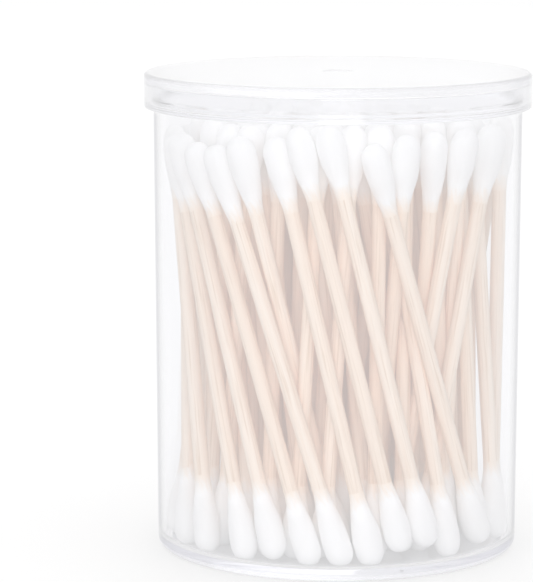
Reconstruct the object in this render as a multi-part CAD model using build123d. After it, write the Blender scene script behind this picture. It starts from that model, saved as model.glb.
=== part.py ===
"""Clear round tub with a push-on lid, holding wooden-stick cotton swabs. Millimetres.

+Z is up and the origin is the centre of the tub's base, on the surface it stands on.
"""

from build123d import *
import math
import os

import numpy as np

# ---- overall sizes
TOTAL_HEIGHT = 83.0  # base to the top of the closed lid
LID_RADIUS = 33.5
TUB_RADIUS_TOP = 31.9  # outer wall, just under the lid
TUB_RADIUS_BASE = 31.4  # outer wall, at the base: the difference is moulding draft
SWAB_LENGTH = 74.0

# ---- tub
TUB_WALL = 1.1
TUB_CORNER = 1.5  # rounding where the wall meets the base, outside
TUB_INNER_CORNER = 1.2
FLOOR_TOP = 2.0  # inside floor level
FOOT_HEIGHT = 0.7  # the underside is raised this far inside the standing ring
FOOT_WIDTH = 1.0  # flat of the standing ring
RIM_ROUND = 0.35

# ---- lid
LID_DEPTH = 6.0  # outside height of the lid
LID_PLATE = 1.6
LID_SKIRT_GAP = 0.55  # skirt's inner wall to the tub's neck
LID_EDGE = 0.7  # rounding of the top edge
LID_HEM = 0.35  # rounding of the skirt's lower edge
GATE_RADIUS = 2.7  # shallow round moulding recess in the middle of the lid
GATE_DEPTH = 0.12
GATE_SLOPE = 3.0  # run of the recess's side, in its depths
GATE_ROUND = 0.8
LID_SEAT_GAP = 0.1  # lid plate to rim

# ---- snap ridges, one on each part
TUB_BEAD_HEIGHT = 0.9
TUB_BEAD_REACH = 0.3
TUB_BEAD_BELOW_TOP = 4.5  # bead centre below the top of the lid
LID_RIDGE_HEIGHT = 0.6
LID_RIDGE_REACH = 0.2
LID_RIDGE_ABOVE_HEM = 0.7

# ---- swab
STICK_RADIUS = 1.25
STICK_COVER = 1.5  # cotton beyond each end of the stick
NOSE_RADIUS = 1.95
NOSE_ANGLE = 81.0  # degrees of the rounded nose, from its apex
BELLY_RADIUS = (2.2, 2.5)  # smallest and largest bud
BELLY_AT = 4.6  # widest place, from the apex
COTTON_LENGTH = (13.0, 15.0)
NECK_RADIUS = 1.4

# ---- how the swabs stand
# Bearings are degrees to the right of the front, which faces -Y. Feet and heads are the middles of the noses.
# Along the front wall: foot bearing, foot radius, head bearing, head radius, and how far the foot is off the floor.
FRONT_SWABS = [
    (-51, 27.4, -88, 27.4, 0.0),
    (-46, 22.5, -66, 21.5, 0.4),
    (-30, 27.4, -78, 27.4, 0.0),
    (-19, 26.0, -68, 27.4, 0.8),
    (-9, 27.4, -57, 27.4, 0.0),
    (1, 27.4, -46, 27.4, 0.0),
    (13, 22.5, -36, 27.4, 0.3),
    (18, 27.4, -13, 23.0, 0.0),
    (28, 26.5, -21, 27.4, 2.2),
    (38, 27.0, -7, 27.4, 2.6),
    (60, 27.4, 8, 27.4, 1.0),
    (44, 27.4, 14, 22.5, 0.0),
    (42, 14.0, 24, 27.4, 0.3),
    (46, 17.0, 34, 27.4, 0.0),
    (36, 17.5, 45, 27.4, 0.0),
    (52, 20.5, 56, 27.4, 0.4),
    (40, 21.5, 67, 27.4, 0.2),
    (78, 27.4, 76, 22.5, 0.0),
    (96, 27.4, 84, 27.4, 0.0),
]
# The others, in rings: radius, swabs, twist from head to foot, bearing of the first, and the arc that they fill.
RINGS = [
    (27.4, 9, 41, 114, 180),
    (22.65, 22, -14, 5, 360),
    (17.9, 20, 22, 11, 360),
    (13.15, 15, -12, 3, 360),
    (8.4, 10, 12, 20, 360),
    (3.65, 5, 0, 0, 360),
]
OWN_NODES = 28  # the first swabs have nodes of their own, and the rest share two
TWIST_SPREAD = 9.0
PLACE_SPREAD = 0.6  # scatter of each end, before the swabs settle
MOST_LIFT = 1.1  # the highest that a swab in a ring is wedged above the floor
SWAB_GAP = 0.12
SEED = 7
SETTLE_ROUNDS = 1500
SETTLE_LEVELS = 33  # heights at which neighbours are kept apart
SETTLE_WITHIN = 0.05
PUSH_SHARE = 0.075
WALL_SHARE = 0.175

LID_BASE = TOTAL_HEIGHT - LID_DEPTH
PLATE_UNDER = TOTAL_HEIGHT - LID_PLATE
RIM_TOP = PLATE_UNDER - LID_SEAT_GAP
SKIRT_INNER = TUB_RADIUS_TOP + LID_SKIRT_GAP
NOSE_SPAN = SWAB_LENGTH - 2 * NOSE_RADIUS
NOSE_HEIGHT = FLOOR_TOP + NOSE_RADIUS


def outline(points, radii):
    """A face between the Z axis and a run of points (radius, height), with each corner rounded."""
    run = FilletPolyline(*points, radius=radii)
    back = Line(points[-1], points[0])
    return Plane.XZ * make_face([run, back])


def half_round(radius, height, tall, reach):
    """A ridge's section: an arc that stands out by reach, on a wall at radius."""
    foot = (radius, height - tall / 2)
    head = (radius, height + tall / 2)
    arc = ThreePointArc(foot, (radius + reach, height), head)
    return Plane.XZ * make_face([arc, Line(head, foot)])


def tub():
    """The clear cup: drafted wall, raised underside, standing ring and snap bead."""
    drop = (TUB_RADIUS_TOP - TUB_RADIUS_BASE) / LID_BASE
    foot_outer = TUB_RADIUS_BASE - TUB_CORNER
    foot_inner = foot_outer - FOOT_WIDTH
    points = [
        (0, FOOT_HEIGHT),
        (foot_inner - FOOT_HEIGHT, FOOT_HEIGHT),
        (foot_inner, 0),
        (TUB_RADIUS_BASE, 0),
        (TUB_RADIUS_TOP, LID_BASE),
        (TUB_RADIUS_TOP, RIM_TOP),
        (TUB_RADIUS_TOP - TUB_WALL, RIM_TOP),
        (TUB_RADIUS_TOP - TUB_WALL, LID_BASE),
        (TUB_RADIUS_BASE + drop * FLOOR_TOP - TUB_WALL, FLOOR_TOP),
        (0, FLOOR_TOP),
    ]
    radii = [0.3, 0.2, TUB_CORNER, 8, RIM_ROUND, RIM_ROUND, 8, TUB_INNER_CORNER]
    cup = revolve(outline(points, radii), Axis.Z)
    bead_at = TOTAL_HEIGHT - TUB_BEAD_BELOW_TOP
    root = TUB_RADIUS_TOP - TUB_WALL / 2
    bead = half_round(root, bead_at, TUB_BEAD_HEIGHT, TUB_WALL / 2 + TUB_BEAD_REACH)
    return cup + revolve(bead, Axis.Z)


def lid():
    """The clear cap: flat plate with a round gate recess, and a skirt with a snap ridge inside."""
    points = [
        (0, PLATE_UNDER),
        (SKIRT_INNER, PLATE_UNDER),
        (SKIRT_INNER, LID_BASE),
        (LID_RADIUS, LID_BASE),
        (LID_RADIUS, TOTAL_HEIGHT),
        (GATE_RADIUS, TOTAL_HEIGHT),
        (GATE_RADIUS - GATE_SLOPE * GATE_DEPTH, TOTAL_HEIGHT - GATE_DEPTH),
        (0, TOTAL_HEIGHT - GATE_DEPTH),
    ]
    radii = [0.3, LID_HEM, LID_HEM, LID_EDGE, GATE_ROUND, GATE_ROUND]
    cap = revolve(outline(points, radii), Axis.Z)
    root = SKIRT_INNER + LID_HEM
    reach = -(LID_HEM + LID_RIDGE_REACH)
    ridge_at = LID_BASE + LID_RIDGE_ABOVE_HEM
    ridge = half_round(root, ridge_at, LID_RIDGE_HEIGHT, reach)
    return cap + revolve(ridge, Axis.Z)


def stick():
    """The wooden stick, along Z from the apex of the lower bud at the origin."""
    length = SWAB_LENGTH - 2 * STICK_COVER
    return Pos(0, 0, STICK_COVER + length / 2) * Cylinder(STICK_RADIUS, length)


def bud(belly, cotton):
    """Cotton wound on one end: blunt nose at the origin, full belly, and a long neck drawn in to the stick."""
    turn = math.radians(NOSE_ANGLE)

    def on_nose(angle):
        return (NOSE_RADIUS * math.sin(angle), NOSE_RADIUS * (1 - math.cos(angle)))

    nose = ThreePointArc((0, 0), on_nose(turn / 2), on_nose(turn))
    widest = (belly, BELLY_AT)
    cheek = TangentArc(widest, on_nose(turn), tangent=(0, -1))
    halfway = ((belly + NECK_RADIUS) / 2, (BELLY_AT + cotton) / 2)
    shoulder = TangentArc(widest, halfway, tangent=(0, 1))
    neck = TangentArc(halfway, (NECK_RADIUS, cotton), tangent=shoulder % 1)
    inside = Polyline(
        (NECK_RADIUS, cotton),
        (STICK_RADIUS, cotton),
        (STICK_RADIUS, STICK_COVER),
        (0, STICK_COVER),
        (0, 0),
    )
    return revolve(Plane.XZ * make_face([nose, cheek, shoulder, neck, inside]), Axis.Z)


def envelope(along, belly, cotton):
    """A swab's radius at a distance along it, never less than the real one, and far below zero past its ends."""
    end = np.minimum(along, SWAB_LENGTH - along)
    share = np.clip((end - BELLY_AT) / (cotton - BELLY_AT), 0, 1)
    taper = np.where(share < 0.5, 2 * share**2, 1 - 2 * (1 - share) ** 2)
    wide = belly - (belly - NECK_RADIUS) * taper
    wide = np.where(end > cotton, STICK_RADIUS, wide)
    return np.where(end < 0, -SWAB_LENGTH, wide)


def spots(bearing, radius):
    """Places on the floor plan, one row for each bearing."""
    turn = np.radians(bearing - 90)
    return np.stack([radius * np.cos(turn), radius * np.sin(turn)], 1)


def first_places(rng):
    """Feet and heads on the floor plan, and the feet's lift, before the swabs settle."""
    front = np.array(FRONT_SWABS, dtype=float)
    foot = [spots(front[:, 0], front[:, 1])]
    head = [spots(front[:, 2], front[:, 3])]
    lift = [front[:, 4]]
    for radius, count, twist, start, arc in RINGS:
        bearing = start + arc * np.arange(count) / count
        half_twist = rng.normal(twist, TWIST_SPREAD, count) / 2
        foot.append(spots(bearing + half_twist, radius) + rng.normal(0, PLACE_SPREAD, (count, 2)))
        head.append(spots(bearing - half_twist, radius) + rng.normal(0, PLACE_SPREAD, (count, 2)))
        lift.append(MOST_LIFT * rng.uniform(0, 1, count) ** 3)
    return np.concatenate(foot), np.concatenate(head), np.concatenate(lift)


def settle(foot, head, lift, belly, cotton):
    """Pushes overlapping swabs apart, and off the wall, by moving their feet and heads on the floor plan."""
    apart = np.eye(len(foot)) * SWAB_LENGTH  # keeps a swab clear of itself
    for _ in range(SETTLE_ROUNDS):
        worst = 0.0
        move_foot = np.zeros_like(foot)
        move_head = np.zeros_like(head)
        rise = np.sqrt(NOSE_SPAN**2 - ((head - foot) ** 2).sum(1))
        for height in np.linspace(0, NOSE_SPAN + lift.max(), SETTLE_LEVELS):
            share = (height - lift) / rise
            here = foot + (head - foot) * share[:, None]
            size = envelope(NOSE_RADIUS + share * NOSE_SPAN, belly, cotton) * NOSE_SPAN / rise
            offset = here[:, None] - here[None]
            distance = np.sqrt((offset**2).sum(2)) + apart
            short = np.clip(size[:, None] + size + SWAB_GAP - distance, 0, None)
            push = (offset * (short / distance)[:, :, None]).sum(1) * PUSH_SHARE
            draft = (TUB_RADIUS_TOP - TUB_RADIUS_BASE) * (height + NOSE_HEIGHT) / LID_BASE
            out = np.sqrt((here**2).sum(1))
            past = np.clip(out + size + SWAB_GAP - (TUB_RADIUS_BASE + draft - TUB_WALL), 0, None)
            push -= here * (past / out)[:, None] * WALL_SHARE
            upper = np.clip(share, 0, 1)[:, None]
            move_foot += push * (1 - upper)
            move_head += push * upper
            worst = max(worst, short.max(), past.max())
        foot = foot + move_foot
        head = head + move_head
        if worst < SETTLE_WITHIN:
            break
    return foot, head


def swab_planes(foot, head, lift):
    """Each swab's own plane: origin at its lower apex, Z along the stick."""
    planes = []
    for low, high, up in zip(foot, head, lift):
        rise = math.sqrt(NOSE_SPAN**2 - float(((high - low) ** 2).sum()))
        along = Vector(high[0] - low[0], high[1] - low[1], rise).normalized()
        nose = Vector(low[0], low[1], NOSE_HEIGHT + up)
        planes.append(Plane(origin=nose - along * NOSE_RADIUS, z_dir=along))
    return planes


def swabs():
    """Every swab as (stick, lower bud, upper bud): those along the front wall, then the rings inwards."""
    rng = np.random.default_rng(SEED)
    foot, head, lift = first_places(rng)
    belly = rng.uniform(*BELLY_RADIUS, len(foot))
    cotton = rng.uniform(*COTTON_LENGTH, len(foot))
    foot, head = settle(foot, head, lift, belly, cotton)
    plain_stick = stick()
    other_end = Pos(0, 0, SWAB_LENGTH) * Rot(180, 0, 0)
    made = []
    for i, plane in enumerate(swab_planes(foot, head, lift)):
        tip = bud(float(belly[i]), float(cotton[i]))
        pieces = (plain_stick, tip, other_end * tip)
        made.append([plane.location * piece for piece in pieces])
    return made


def save(name, *shapes):
    """Writes one node, which holds one solid for each shape."""
    shape = shapes[0] if len(shapes) == 1 else Compound(children=list(shapes))
    export_step(shape, f"parts/{name}.step")


os.makedirs("parts", exist_ok=True)
save("tub", tub())
save("lid", lid())
all_swabs = swabs()
outer, core = all_swabs[:OWN_NODES], all_swabs[OWN_NODES:]
for number, (wood, lower, upper) in enumerate(outer, 1):
    save(f"swab_{number:02d}_stick", wood)
    save(f"swab_{number:02d}_cotton", lower, upper)
save("core_swabs_sticks", *[wood for wood, _, _ in core])
save("core_swabs_cotton", *[tip for _, lower, upper in core for tip in (lower, upper)])
print("swabs:", len(all_swabs), "outer:", len(outer), "core:", len(core))
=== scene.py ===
import math
import random

import bmesh
import bpy
from mathutils import Matrix, Vector, noise


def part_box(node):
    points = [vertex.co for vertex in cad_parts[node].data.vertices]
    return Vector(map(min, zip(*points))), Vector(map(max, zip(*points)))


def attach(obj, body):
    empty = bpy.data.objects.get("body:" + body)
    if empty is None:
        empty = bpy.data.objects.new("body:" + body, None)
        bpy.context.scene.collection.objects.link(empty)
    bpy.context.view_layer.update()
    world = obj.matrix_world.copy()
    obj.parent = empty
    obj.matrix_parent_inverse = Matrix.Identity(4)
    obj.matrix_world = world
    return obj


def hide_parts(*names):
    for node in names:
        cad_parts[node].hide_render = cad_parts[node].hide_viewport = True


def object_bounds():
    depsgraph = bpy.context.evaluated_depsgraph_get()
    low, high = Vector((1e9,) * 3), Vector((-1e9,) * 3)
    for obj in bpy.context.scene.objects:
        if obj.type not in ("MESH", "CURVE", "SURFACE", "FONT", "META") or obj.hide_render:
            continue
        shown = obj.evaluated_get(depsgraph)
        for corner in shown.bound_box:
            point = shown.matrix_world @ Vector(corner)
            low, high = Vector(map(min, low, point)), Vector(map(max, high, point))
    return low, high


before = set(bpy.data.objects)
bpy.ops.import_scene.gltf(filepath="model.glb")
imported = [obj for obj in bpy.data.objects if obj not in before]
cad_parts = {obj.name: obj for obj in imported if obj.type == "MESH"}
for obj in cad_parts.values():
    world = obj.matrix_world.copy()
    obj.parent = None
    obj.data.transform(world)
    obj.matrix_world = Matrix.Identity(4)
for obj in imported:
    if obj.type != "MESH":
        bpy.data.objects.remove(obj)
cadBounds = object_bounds()
mm = 0.001
print("frame loaded:", len(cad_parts), "nodes")


def nodeTree(name):
    material = bpy.data.materials.new(name)
    material.use_nodes = True
    material.node_tree.nodes.clear()
    return material, material.node_tree


def addNode(tree, kind, **values):
    node = tree.nodes.new(kind)
    for socket, value in values.items():
        node.inputs[socket.replace("_", " ")].default_value = value
    return node


def calculate(tree, kind, operation, *sources):
    # each source is an output of another node or a fixed value
    node = tree.nodes.new(kind)
    node.operation = operation
    for socket, source in zip(node.inputs, sources):
        if isinstance(source, bpy.types.NodeSocket):
            tree.links.new(source, socket)
        else:
            socket.default_value = source
    return node.outputs


def multiply(tree, first, second):
    return calculate(tree, "ShaderNodeMath", "MULTIPLY", first, second)["Value"]


def spreadMask(tree, source, low, high):
    # rises from 0 at low to 1 at high, whichever of the two is larger
    node = addNode(tree, "ShaderNodeMapRange", From_Min=low, From_Max=high)
    tree.links.new(source, node.inputs["Value"])
    return node.outputs["Result"]


def mixColours(tree, mask, first, second):
    node = tree.nodes.new("ShaderNodeMix")
    node.data_type = "RGBA"
    tree.links.new(mask, node.inputs["Factor"])
    for socket, value in ((node.inputs[6], first), (node.inputs[7], second)):
        if isinstance(value, tuple):
            socket.default_value = (*value, 1)
        else:
            tree.links.new(value, socket)
    return node.outputs[2]


def addBump(tree, shader, source, strength, distance):
    bump = addNode(tree, "ShaderNodeBump", Strength=strength, Distance=distance)
    tree.links.new(source, bump.inputs["Height"])
    tree.links.new(bump.outputs["Normal"], shader.inputs["Normal"])


def attribute(tree, name):
    node = tree.nodes.new("ShaderNodeAttribute")
    node.attribute_name = name
    return node


plasticLook = {
    "ior": 1.5,
    "tint": (0.80, 0.80, 0.86),  # what is left of white after absorbing
    "rippleScale": 60.0,
    "rippleDetail": 1.0,
    "ripple": (0.03, 0.02 * mm),  # strength and height
    "fadeBelow": 2 * mm,  # the painted edge shade fades out over these heights
    "fadeAbove": 1 * mm,
    "fadeInward": 0.1 * mm,
}

tubLook = {
    "colour": (0.94, 0.94, 0.955),
    "roughness": 0.02,
    "density": 8.0,
    "edgeShadeColour": (0.05, 0.05, 0.08),  # painted edge shade: darkens the outer wall where it turns away from the eye, standing in for the dark line of reflection and refraction at the silhouette
    "edgeShadeStart": 0.70,
    "edgeShadeEnd": 0.86,
    "edgeShadeFrom": 4 * mm,  # heights between which the painted edge shade shows
    "edgeShadeTo": 76 * mm,
    "outside": 31.1 * mm,  # surfaces further out than this are the outer wall
}

paintedFloorBandLook = {  # painted refraction: a grey-lavender band on the outer wall where the tub's floor is seen edge-on through the wall
    "colour": (0.60, 0.60, 0.68),
    "low": 1.25 * mm,
    "high": 2.3 * mm,
    "soft": 0.2 * mm,
    "faceStart": -0.08,
    "faceEnd": 0.32,
}

lidLook = {
    "colour": (0.94, 0.94, 0.955),
    "roughness": 0.09,
    "density": 6.0,
    # painted edge shade, lighter than the tub's, where the skirt's outer wall turns away from the eye
    "edgeShadeColour": (0.62, 0.62, 0.67),
    "edgeShadeStart": 0.45,
    "edgeShadeEnd": 0.90,
    "edgeShadeFrom": 0.0,
    "edgeShadeTo": 90 * mm,
    "outside": 33.1 * mm,
}


def outerWall(tree, place, radius):
    flat = calculate(tree, "ShaderNodeVectorMath", "MULTIPLY", place, (1, 1, 0))["Vector"]
    reach = calculate(tree, "ShaderNodeVectorMath", "LENGTH", flat)["Value"]
    return spreadMask(tree, reach, radius - plasticLook["fadeInward"], radius)


# painted edge shade: darkens the outer wall by viewing angle, standing in for the dark line that reflection
# and refraction give at the silhouette
def paintedEdgeShade(tree, look, height, facing, outside):
    above = spreadMask(tree, height, look["edgeShadeFrom"] - plasticLook["fadeBelow"], look["edgeShadeFrom"])
    below = spreadMask(tree, height, look["edgeShadeTo"] + plasticLook["fadeAbove"], look["edgeShadeTo"])
    turned = spreadMask(tree, facing, look["edgeShadeStart"], look["edgeShadeEnd"])
    return multiply(tree, multiply(tree, turned, outside), multiply(tree, above, below))


# painted refraction of the tub's floor: a band at the floor's height on the outer wall, by viewing angle
def paintedFloorBand(tree, band, height, facing, outside):
    low = spreadMask(tree, height, band["low"] - band["soft"], band["low"])
    high = spreadMask(tree, height, band["high"] + band["soft"], band["high"])
    aside = spreadMask(tree, facing, band["faceStart"], band["faceEnd"])
    return multiply(tree, multiply(tree, low, high), multiply(tree, aside, outside))


def makePlastic(name, look, band=None):
    material, tree = nodeTree(name)
    link = tree.links.new
    glass = addNode(tree, "ShaderNodeBsdfPrincipled", Roughness=look["roughness"], IOR=plasticLook["ior"],
                    Transmission_Weight=1.0)
    facing = addNode(tree, "ShaderNodeLayerWeight", Blend=0.5).outputs["Facing"]
    place = addNode(tree, "ShaderNodeTexCoord").outputs["Object"]
    split = addNode(tree, "ShaderNodeSeparateXYZ")
    link(place, split.inputs[0])
    height = split.outputs["Z"]
    outside = outerWall(tree, place, look["outside"])
    # painted shade at the wall's silhouette, by viewing angle, laid over the plastic's own colour
    rim = paintedEdgeShade(tree, look, height, facing, outside)
    tintAndPaintedShade = mixColours(tree, rim, look["colour"], look["edgeShadeColour"])
    # painted band where the floor shows edge-on through the wall, by height and viewing angle
    if band:
        tintAndPaintedShade = mixColours(tree, paintedFloorBand(tree, band, height, facing, outside), tintAndPaintedShade, band["colour"])
    link(tintAndPaintedShade, glass.inputs["Base Color"])
    ripple = addNode(tree, "ShaderNodeTexNoise", Scale=plasticLook["rippleScale"],
                     Detail=plasticLook["rippleDetail"])
    link(place, ripple.inputs["Vector"])
    addBump(tree, glass, ripple.outputs["Fac"], *plasticLook["ripple"])
    # light on its way to the swabs passes straight through the plastic
    mix = addNode(tree, "ShaderNodeMixShader")
    clear = addNode(tree, "ShaderNodeBsdfTransparent")
    path = addNode(tree, "ShaderNodeLightPath")
    link(path.outputs["Is Shadow Ray"], mix.inputs[0])
    link(glass.outputs[0], mix.inputs[1])
    link(clear.outputs[0], mix.inputs[2])
    output = addNode(tree, "ShaderNodeOutputMaterial")
    volume = addNode(tree, "ShaderNodeVolumeAbsorption", Color=(*plasticLook["tint"], 1),
                     Density=look["density"])
    link(mix.outputs[0], output.inputs["Surface"])
    link(volume.outputs[0], output.inputs["Volume"])
    return material


streakLook = {
    "detail": 3.0,
    "roughness": 0.6,
}

woodLook = {
    "pale": (0.96, 0.81, 0.67),
    "warm": (0.92, 0.73, 0.57),
    "streak": (0.70, 0.48, 0.30),
    "roughness": 0.62,
    "grain": (1300, 26),  # across, for each metre, and how much longer than wide a streak is
    "fineGrain": (2900, 40),
    "warmFrom": (0.45, 0.66),  # parts of the grain that turn warm, and of the fine grain that turn to streaks
    "streakFrom": (0.52, 0.74),
    "relief": (0.35, 0.05 * mm),  # strength and height
}

cottonLook = {
    "white": (0.97, 0.97, 0.965),
    "shade": (0.93, 0.93, 0.93),
    "roughness": 0.95,
    "sheen": 0.2,
    "softDepth": 1.8 * mm,
    "softNeck": 0.6,  # share of the neck, from the stick, where the cotton is too thin to be soft
    "fibres": (2600, 6),
    "shadeFrom": (0.3, 0.8),
    "fray": 0.9,  # how much the fibres break up the neck's edge
    "woodFrom": (0.7, 1.25),  # how thin the cotton is where the wood begins to show, and shows whole
    "relief": (0.4, 0.1 * mm),
}


def makeStreaks():
    # long streaks along a piece's own Z, from a place attribute in metres
    group = bpy.data.node_groups.new("fineStreaks", "ShaderNodeTree")
    sockets = group.interface
    sockets.new_socket("Place", in_out="INPUT", socket_type="NodeSocketVector")
    sockets.new_socket("Scale", in_out="INPUT", socket_type="NodeSocketFloat")
    sockets.new_socket("Length", in_out="INPUT", socket_type="NodeSocketFloat")
    sockets.new_socket("Mask", in_out="OUTPUT", socket_type="NodeSocketFloat")
    link = group.links.new
    start = group.nodes.new("NodeGroupInput").outputs
    end = group.nodes.new("NodeGroupOutput").inputs
    squeeze = addNode(group, "ShaderNodeCombineXYZ")
    link(start["Scale"], squeeze.inputs["X"])
    link(start["Scale"], squeeze.inputs["Y"])
    along = calculate(group, "ShaderNodeMath", "DIVIDE", start["Scale"], start["Length"])
    link(along["Value"], squeeze.inputs["Z"])
    stretched = calculate(group, "ShaderNodeVectorMath", "MULTIPLY", start["Place"], squeeze.outputs[0])
    streaks = addNode(group, "ShaderNodeTexNoise", Scale=1.0, Detail=streakLook["detail"],
                      Roughness=streakLook["roughness"])
    link(stretched["Vector"], streaks.inputs["Vector"])
    link(streaks.outputs["Fac"], end["Mask"])
    return group


def placeStreaks(tree, group, place, scale, length):
    node = tree.nodes.new("ShaderNodeGroup")
    node.node_tree = group
    node.inputs["Scale"].default_value = scale
    node.inputs["Length"].default_value = length
    tree.links.new(place, node.inputs["Place"])
    return node.outputs["Mask"]


def makeWood(streakGroup):
    look = woodLook
    material, tree = nodeTree("bareWood")
    wood = addNode(tree, "ShaderNodeBsdfPrincipled", Roughness=look["roughness"])
    place = attribute(tree, "ownPlace").outputs["Vector"]
    tone = attribute(tree, "tone").outputs["Fac"]
    broad = placeStreaks(tree, streakGroup, place, *look["grain"])
    fine = placeStreaks(tree, streakGroup, place, *look["fineGrain"])
    body = mixColours(tree, tone, look["pale"], look["warm"])
    body = mixColours(tree, spreadMask(tree, broad, *look["warmFrom"]), body, look["warm"])
    body = mixColours(tree, spreadMask(tree, fine, *look["streakFrom"]), body, look["streak"])
    tree.links.new(body, wood.inputs["Base Color"])
    addBump(tree, wood, fine, *look["relief"])
    output = addNode(tree, "ShaderNodeOutputMaterial")
    tree.links.new(wood.outputs[0], output.inputs["Surface"])
    return material


def makeCotton(streakGroup):
    look = cottonLook
    material, tree = nodeTree("woundCotton")
    cotton = addNode(tree, "ShaderNodeBsdfPrincipled", Roughness=look["roughness"],
                     Sheen_Weight=look["sheen"], Subsurface_Radius=(1, 1, 1),
                     Subsurface_Scale=look["softDepth"])
    place = attribute(tree, "ownPlace").outputs["Vector"]
    thin = attribute(tree, "thin").outputs["Fac"]
    fibres = placeStreaks(tree, streakGroup, place, *look["fibres"])
    body = mixColours(tree, spreadMask(tree, fibres, *look["shadeFrom"]), look["white"], look["shade"])
    # the neck thins out unevenly, and the wood shows through
    frayed = calculate(tree, "ShaderNodeMath", "MULTIPLY_ADD", fibres, look["fray"], thin)["Value"]
    body = mixColours(tree, spreadMask(tree, frayed, *look["woodFrom"]), body, woodLook["pale"])
    tree.links.new(body, cotton.inputs["Base Color"])
    tree.links.new(spreadMask(tree, thin, look["softNeck"], 0.0), cotton.inputs["Subsurface Weight"])
    addBump(tree, cotton, fibres, *look["relief"])
    output = addNode(tree, "ShaderNodeOutputMaterial")
    tree.links.new(cotton.outputs[0], output.inputs["Surface"])
    return material


streakGroup = makeStreaks()
tubPlastic = makePlastic("tubPlastic", tubLook, paintedFloorBandLook)
lidPlastic = makePlastic("lidPlastic", lidLook)
bareWood = makeWood(streakGroup)
woundCotton = makeCotton(streakGroup)
print("materials made")


def addPiece(name, bm, material, body, node):
    mesh = bpy.data.meshes.new(name)
    bm.to_mesh(mesh)
    bm.free()
    mesh.shade_smooth()
    mesh.materials.append(material)
    piece = bpy.data.objects.new(name, mesh)
    bpy.context.scene.collection.objects.link(piece)
    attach(piece, body)
    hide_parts(node)
    return piece


outlineDetail = {
    "roundSteps": 10,
    "beside": 0.1 * mm,  # a short stretch next to each rounding keeps the flats flat
    "splitFrom": 5,  # a stretch is split when it is this many times as long
    "longest": 4 * mm,
    "merge": 0.001 * mm,
}


def outlineLoop(bm, corners):
    # corners are (radius, height, rounding); each is a vertex that the bevel operator rounds
    detail = outlineDetail
    verts = [bm.verts.new((radius, 0, height)) for radius, height, _ in corners]
    for a, b in zip(verts, verts[1:]):
        bm.edges.new((a, b))
    for vert, (_, _, rounding) in zip(verts, corners):
        if rounding:
            first, second = (edge.other_vert(vert).co - vert.co for edge in vert.link_edges)
            offset = rounding * math.tan((math.pi - first.angle(second)) / 2)
            bmesh.ops.bevel(bm, geom=[vert], offset=offset, segments=detail["roundSteps"], profile=0.5,
                            affect="VERTICES", material=-1)
    for edge in list(bm.edges):
        if edge.calc_length() > detail["splitFrom"] * detail["beside"]:
            for vert in list(edge.verts):
                bmesh.utils.edge_split(edge, vert, detail["beside"] / edge.calc_length())
    for edge in list(bm.edges):
        cuts = int(edge.calc_length() / detail["longest"])
        if cuts:
            bmesh.ops.subdivide_edges(bm, edges=[edge], cuts=cuts)


def addRidge(corners, index, radius, height, tall, reach):
    # a low rounded ridge after one of the corners of a wall, as three corners of its own
    low, high = height - tall / 2, height + tall / 2
    ridge = [(radius, low, 0), (radius + reach, height, abs(reach)), (radius, high, 0)]
    if corners[index][1] > height:
        ridge.reverse()
    return corners[: index + 1] + ridge + corners[index + 1 :]


def spinOutline(corners, turns):
    bm = bmesh.new()
    outlineLoop(bm, corners)
    bmesh.ops.spin(bm, geom=bm.verts[:] + bm.edges[:], cent=(0, 0, 0), axis=(0, 0, 1), dvec=(0, 0, 0),
                   angle=2 * math.pi, steps=turns, use_merge=True, use_duplicate=False)
    bmesh.ops.remove_doubles(bm, verts=bm.verts, dist=outlineDetail["merge"])
    bmesh.ops.recalc_face_normals(bm, faces=bm.faces)
    return bm


tubShape = {
    "baseRadius": 31.4 * mm,
    "topRadius": 31.9 * mm,
    "wall": 1.1 * mm,
    "corner": 1.5 * mm,
    "innerCorner": 1.2 * mm,
    "floorTop": 2.0 * mm,
    "foot": 0.7 * mm,
    "footWidth": 1.0 * mm,
    "footInnerRound": 0.3 * mm,
    "footRound": 0.2 * mm,
    "rimRound": 0.35 * mm,
    "draftRound": 8 * mm,  # where the drafted wall turns upright, below the lid
    "beadReach": 0.3 * mm,
    "beadTall": 0.9 * mm,
    "beadBelowLidTop": 4.5 * mm,
    "turns": 432,
}


def makeTub():
    shape = tubShape
    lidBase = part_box("lid")[0].z
    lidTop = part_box("lid")[1].z
    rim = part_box("tub")[1].z
    outer = shape["topRadius"]
    footInner = shape["baseRadius"] - shape["corner"] - shape["footWidth"]
    corners = [
        (0, shape["foot"], 0),
        (footInner - shape["foot"], shape["foot"], shape["footInnerRound"]),
        (footInner, 0, shape["footRound"]),
        (shape["baseRadius"], 0, shape["corner"]),
        (outer, lidBase, shape["draftRound"]),
        (outer, rim, shape["rimRound"]),
        (outer - shape["wall"], rim, shape["rimRound"]),
        (outer - shape["wall"], lidBase, shape["draftRound"]),
        (shape["baseRadius"] - shape["wall"], shape["floorTop"], shape["innerCorner"]),
        (0, shape["floorTop"], 0),
    ]
    bead = lidTop - shape["beadBelowLidTop"]
    corners = addRidge(corners, 4, outer, bead, shape["beadTall"], shape["beadReach"])
    shell = spinOutline(corners, shape["turns"])
    return addPiece("tubShell", shell, tubPlastic, "tub", "tub")


lidShape = {
    "plate": 1.6 * mm,
    "skirtInner": 32.45 * mm,
    "edge": 0.7 * mm,
    "innerEdge": 0.3 * mm,
    "hem": 0.35 * mm,
    "gateRadius": 2.7 * mm,
    "gateDepth": 0.12 * mm,
    "gateSlope": 3,  # run of the recess's side, in its depths
    "gateRound": 0.8 * mm,
    "ridgeReach": 0.2 * mm,
    "ridgeTall": 0.6 * mm,
    "ridgeAboveHem": 0.7 * mm,
    "turns": 576,
}


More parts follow.
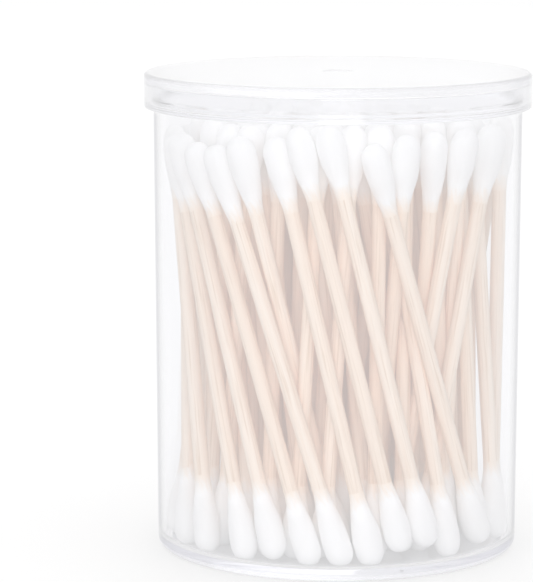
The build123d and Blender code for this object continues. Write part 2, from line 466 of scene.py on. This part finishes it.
def makeLid():
    shape = lidShape
    low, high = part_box("lid")
    radius = high.x
    inner = shape["skirtInner"]
    under = high.z - shape["plate"]
    gateFloor = high.z - shape["gateDepth"]
    corners = [
        (0, under, 0),
        (inner, under, shape["innerEdge"]),
        (inner, low.z, shape["hem"]),
        (radius, low.z, shape["hem"]),
        (radius, high.z, shape["edge"]),
        (shape["gateRadius"], high.z, shape["gateRound"]),
        (shape["gateRadius"] - shape["gateSlope"] * shape["gateDepth"], gateFloor, shape["gateRound"]),
        (0, gateFloor, 0),
    ]
    ridge = low.z + shape["ridgeAboveHem"]
    corners = addRidge(corners, 1, inner, ridge, shape["ridgeTall"], -shape["ridgeReach"])
    shell = spinOutline(corners, shape["turns"])
    return addPiece("lidShell", shell, lidPlastic, "lid", "lid")


tubShell = makeTub()
lidShell = makeLid()
print("tub and lid made:", len(tubShell.data.polygons), len(lidShell.data.polygons), "faces")

swabShape = {
    "stickAround": 20,
    "stickRings": 14,
    "stickUneven": 0.02 * mm,
    "unevenScale": 260,
    "toneLean": 1.5,  # above 1, most sticks are of the paler kind
    "budDetail": (44, 34),  # faces around, and rings from the tip to the neck
    "coreBudDetail": (22, 17),
    "tipShare": 3,  # one ring in so many is on the rounded tip
    "tipLength": 3.2 * mm,
    "tipPower": 2.3,
    "bellyAt": 4.6 * mm,  # from the tip
    "tuck": 0.97,  # the cotton's edge ends just inside the stick's surface
    "lump": 0.09 * mm,
    "lumpSize": 2.6 * mm,
    "lumpInward": 0.4,  # lumps dent the bud more than they swell it
    "furrow": 0.035 * mm,
    "furrowSize": 0.55 * mm,
    "furrowStretch": 6,
    "winding": 150.0,  # radians that the fibres turn for each metre of height
    "plainWithin": 1.02,  # no relief on the cotton closer in than this share of the stick's radius
    "smoothNeck": 3 * mm,  # stretch over which the relief fades out towards the stick
    "tipDown": 0.4,  # how far the relief on the tip points away from the stick
    "thinLength": 5.0 * mm,
    "merge": 0.002 * mm,
    "readMerge": 0.0005 * mm,
    "coreSeed": 1000,
}


def looseParts(node):
    bm = bmesh.new()
    bm.from_mesh(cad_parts[node].data)
    bmesh.ops.remove_doubles(bm, verts=bm.verts, dist=swabShape["readMerge"])
    parts = []
    seen = set()
    for vert in bm.verts:
        if vert in seen:
            continue
        seen.add(vert)
        part = [vert]
        for member in part:
            for edge in member.link_edges:
                other = edge.other_vert(member)
                if other not in seen:
                    seen.add(other)
                    part.append(other)
        parts.append([v.co.copy() for v in part])
    bm.free()
    return parts


def middle(points):
    return sum(points, Vector()) / len(points)


def alongAndAside(point, origin, along):
    height = (point - origin).dot(along)
    return height, (point - origin - along * height).length


def readStick(points):
    # lower end, upper end and radius of a plain cylinder that stands more or less upright
    centre = middle(points)
    low = middle([point for point in points if point.z < centre.z])
    high = middle([point for point in points if point.z >= centre.z])
    along = (high - low).normalized()
    return low, high, max(alongAndAside(point, low, along)[1] for point in points)


def readBud(buds, end, inward):
    # tip, length and largest radius of the bud on one end of a stick
    _, points = min(buds, key=lambda bud: (bud[0] - end).length)
    heights, reaches = zip(*(alongAndAside(point, end, inward) for point in points))
    first, last = min(heights), max(heights)
    return {"tip": end + inward * first, "inward": inward, "length": last - first, "belly": max(reaches)}


def readSwabs(stickNode, cottonNode):
    buds = [(middle(points), points) for points in looseParts(cottonNode)]
    swabs = []
    for points in looseParts(stickNode):
        low, high, radius = readStick(points)
        along = (high - low).normalized()
        ends = [readBud(buds, low, along), readBud(buds, high, -along)]
        swabs.append({"low": low, "high": high, "radius": radius, "ends": ends})
    return swabs


def turnedTo(direction, origin, spin):
    towards = direction.to_track_quat("Z", "Y").to_matrix().to_4x4()
    return Matrix.Translation(origin) @ towards @ Matrix.Rotation(spin, 4, "Z")


def newPart():
    part = bmesh.new()
    layers = {
        "ownPlace": part.verts.layers.float_vector.new("ownPlace"),
        "tone": part.verts.layers.float.new("tone"),
        "thin": part.verts.layers.float.new("thin"),
    }
    return part, layers


def addPart(whole, part):
    mesh = bpy.data.meshes.new("part")
    part.to_mesh(mesh)
    part.free()
    whole.from_mesh(mesh)
    bpy.data.meshes.remove(mesh)


def randomPlace(rng):
    return Vector((rng.uniform(-1, 1), rng.uniform(-1, 1), rng.uniform(-1, 1)))


def addStick(whole, swab, rng):
    shape = swabShape
    part, layers = newPart()
    length = (swab["high"] - swab["low"]).length
    bmesh.ops.create_cone(part, cap_ends=True, segments=shape["stickAround"], radius1=swab["radius"],
                          radius2=swab["radius"], depth=length)
    sides = [edge for edge in part.edges if abs(edge.verts[0].co.z - edge.verts[1].co.z) > length / 2]
    bmesh.ops.subdivide_edges(part, edges=sides, cuts=shape["stickRings"])
    offset = randomPlace(rng)
    tone = rng.random() ** shape["toneLean"]
    for vert in part.verts:
        vert[layers["ownPlace"]] = vert.co + offset
        vert[layers["tone"]] = tone
        uneven = noise.noise((vert.co + offset) * shape["unevenScale"])
        vert.co += Vector((vert.co.x, vert.co.y, 0)).normalized() * uneven * shape["stickUneven"]
    along = (swab["high"] - swab["low"]).normalized()
    part.transform(turnedTo(along, (swab["low"] + swab["high"]) / 2, rng.uniform(0, 2 * math.pi)))
    addPart(whole, part)


def budRadius(height, end, stickRadius):
    shape = swabShape
    neck = stickRadius * shape["tuck"]
    rise = min(height / shape["tipLength"], 1)
    tip = (1 - (1 - rise) ** shape["tipPower"]) ** (1 / shape["tipPower"])
    fall = max(0.0, (height - shape["bellyAt"]) / (end["length"] - shape["bellyAt"]))
    taper = fall * fall * (3 - 2 * fall)
    return tip * (end["belly"] + (neck - end["belly"]) * taper)


def budOutline(end, stickRadius, rings):
    tipLength = swabShape["tipLength"]
    length = end["length"]
    onTip = rings // swabShape["tipShare"]
    onBody = rings - onTip
    heights = [tipLength * (1 - math.cos(math.pi / 2 * i / onTip)) for i in range(1, onTip + 1)]
    heights += [tipLength + (length - tipLength) * i / onBody for i in range(1, onBody + 1)]
    outline = [(budRadius(height, end, stickRadius), height) for height in heights]
    return [(0, 0), *outline, (0, length)]  # closed inside the stick, so that light stays in the cotton


def woundRelief(co, wound, offset, length, belly):
    shape = swabShape
    lump = noise.noise((co + offset) / shape["lumpSize"]) - shape["lumpInward"]
    stretched = Vector((wound.x, wound.y, wound.z / shape["furrowStretch"]))
    furrow = noise.noise(stretched / shape["furrowSize"] + offset)
    ease = min(1, (length - co.z) / shape["smoothNeck"])
    down = max(0.0, 1 - co.z / shape["tipLength"]) * belly * shape["tipDown"]
    outward = Vector((co.x, co.y, -down)).normalized()
    return outward * (lump * shape["lump"] + furrow * shape["furrow"]) * ease


def addBud(whole, end, stickRadius, detail, rng):
    shape = swabShape
    around, rings = detail
    part, layers = newPart()
    length = end["length"]
    verts = [part.verts.new((radius, 0, height)) for radius, height in budOutline(end, stickRadius, rings)]
    edges = [part.edges.new(pair) for pair in zip(verts, verts[1:])]
    bmesh.ops.spin(part, geom=verts + edges, cent=(0, 0, 0), axis=(0, 0, 1), dvec=(0, 0, 0),
                   angle=2 * math.pi, steps=around, use_merge=True, use_duplicate=False)
    bmesh.ops.remove_doubles(part, verts=part.verts, dist=shape["merge"])
    bmesh.ops.recalc_face_normals(part, faces=part.faces)
    offset = randomPlace(rng)
    for vert in part.verts:
        wound = Matrix.Rotation(vert.co.z * shape["winding"], 3, "Z") @ vert.co
        vert[layers["ownPlace"]] = wound + offset
        vert[layers["thin"]] = max(0.0, 1 + (vert.co.z - length) / shape["thinLength"])
        beyondStick = Vector((vert.co.x, vert.co.y, 0)).length > stickRadius * shape["plainWithin"]
        if beyondStick or vert.co.z < shape["tipLength"]:
            vert.co += woundRelief(vert.co, wound, offset, length, end["belly"])
    part.transform(turnedTo(end["inward"], end["tip"], rng.uniform(0, 2 * math.pi)))
    addPart(whole, part)


def makeSwabs(stickName, cottonName, stickNode, cottonNode, detail, seed):
    rng = random.Random(seed)
    sticks, buds = bmesh.new(), bmesh.new()
    for swab in readSwabs(stickNode, cottonNode):
        addStick(sticks, swab, rng)
        for end in swab["ends"]:
            addBud(buds, end, swab["radius"], detail, rng)
    addPiece(stickName, sticks, bareWood, "tub", stickNode)
    addPiece(cottonName, buds, woundCotton, "tub", cottonNode)


outerCount = sum(1 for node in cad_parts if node.startswith("swab_") and node.endswith("_stick"))
for number in range(1, outerCount + 1):
    own = f"{number:02d}"
    makeSwabs(f"stick{own}", f"cotton{own}", f"swab_{own}_stick", f"swab_{own}_cotton",
              swabShape["budDetail"], number)
makeSwabs("coreSticks", "coreCotton", "core_swabs_sticks", "core_swabs_cotton",
          swabShape["coreBudDetail"], swabShape["coreSeed"])
print("swabs made:", outerCount, "outer and the core")

studio = {
    "floorSize": 8.0,
    "floorColour": (0.55, 0.55, 0.55),
    "floorRoughness": 0.7,
    "floorGlow": 0.40,  # a lit table: it shines a little from below
    "tentColour": (1.0, 1.0, 1.0),
    "sideColour": (0.62, 0.62, 0.66),  # the tent's sides are a little darker, and show in the plastic's edges
    "sideStart": 0.72,
    "sideEnd": 0.98,
    "tentStrength": 1.0,
    "softboxes": {  # place, size and power of each
        "keySoftbox": ((0.03, -1.2, 0.22), 0.6, 3.2),
        "sideSoftbox": ((-0.55, -1.0, 0.45), 0.9, 0.9),
        "topSoftbox": ((0.0, -0.1, 1.2), 1.2, 1.8),
        "backSoftbox": ((0.30, 1.2, 0.50), 0.9, 0.8),
    },
    "haze": 0.68,  # lifts the darkest tones, as in a bright light tent
    "cameraDistance": 546 * mm,  # from the tub's axis
    "cameraHeight": 130 * mm,
    "cameraPitch": 8.9,  # degrees below level
    "cameraPan": 1.295,  # degrees to the left of the tub's axis
    "lens": 195.7,
    "nearClip": 10 * mm,
    "bounces": {  # many, because light crosses the lid and the wall again and again
        "max_bounces": 40,
        "transmission_bounces": 40,
        "glossy_bounces": 40,
        "diffuse_bounces": 14,
        "transparent_max_bounces": 24,
    },
}


def makeFloor():
    material, tree = nodeTree("paleFloor")
    pale = addNode(tree, "ShaderNodeBsdfPrincipled", Base_Color=(*studio["floorColour"], 1),
                   Roughness=studio["floorRoughness"], Emission_Color=(1, 1, 1, 1),
                   Emission_Strength=studio["floorGlow"])
    output = addNode(tree, "ShaderNodeOutputMaterial")
    tree.links.new(pale.outputs[0], output.inputs["Surface"])
    bm = bmesh.new()
    bmesh.ops.create_grid(bm, x_segments=1, y_segments=1, size=studio["floorSize"] / 2)
    mesh = bpy.data.meshes.new("floor")
    bm.to_mesh(mesh)
    bm.free()
    mesh.materials.append(material)
    floor = bpy.data.objects.new("floor", mesh)
    bpy.context.scene.collection.objects.link(floor)


def makeTent():
    world = bpy.data.worlds.new("softWhite")
    world.use_nodes = True
    tree = world.node_tree
    background = tree.nodes["Background"]
    background.inputs["Strength"].default_value = studio["tentStrength"]
    split = addNode(tree, "ShaderNodeSeparateXYZ")
    tree.links.new(addNode(tree, "ShaderNodeTexCoord").outputs["Generated"], split.inputs[0])
    sideways = calculate(tree, "ShaderNodeMath", "ABSOLUTE", split.outputs["X"])["Value"]
    mask = spreadMask(tree, sideways, studio["sideStart"], studio["sideEnd"])
    colour = mixColours(tree, mask, studio["tentColour"], studio["sideColour"])
    tree.links.new(colour, background.inputs["Color"])
    bpy.context.scene.world = world


def addLamp(name, place, target, size, power):
    lamp = bpy.data.lights.new(name, "AREA")
    lamp.shape = "DISK"
    lamp.size = size
    lamp.energy = power
    holder = bpy.data.objects.new(name, lamp)
    holder.location = place
    holder.rotation_euler = (Vector(target) - Vector(place)).to_track_quat("-Z", "Y").to_euler()
    holder.visible_glossy = False  # the lamps themselves don't show in the plastic
    bpy.context.scene.collection.objects.link(holder)


def makeCamera():
    camera = bpy.data.cameras.new("camera")
    camera.lens = studio["lens"]
    camera.clip_start = studio["nearClip"]
    holder = bpy.data.objects.new("camera", camera)
    holder.location = (0, -studio["cameraDistance"], studio["cameraHeight"])
    holder.rotation_euler = (math.radians(90 - studio["cameraPitch"]), 0, math.radians(studio["cameraPan"]))
    bpy.context.scene.collection.objects.link(holder)
    bpy.context.scene.camera = holder


def setTones():
    view = bpy.context.scene.view_settings
    view.view_transform = "Standard"
    view.use_curve_mapping = True
    view.curve_mapping.black_level = (-studio["haze"],) * 3
    view.curve_mapping.update()


def setLightPaths():
    cycles = bpy.context.scene.cycles
    for name, count in studio["bounces"].items():
        setattr(cycles, name, count)
    cycles.caustics_reflective = False
    cycles.use_denoising = True


makeFloor()
makeTent()
tubMiddle = (0, 0, cadBounds[1].z / 2)
for name, (place, size, power) in studio["softboxes"].items():
    addLamp(name, place, tubMiddle, size, power)
makeCamera()
setTones()
setLightPaths()
print("studio made")
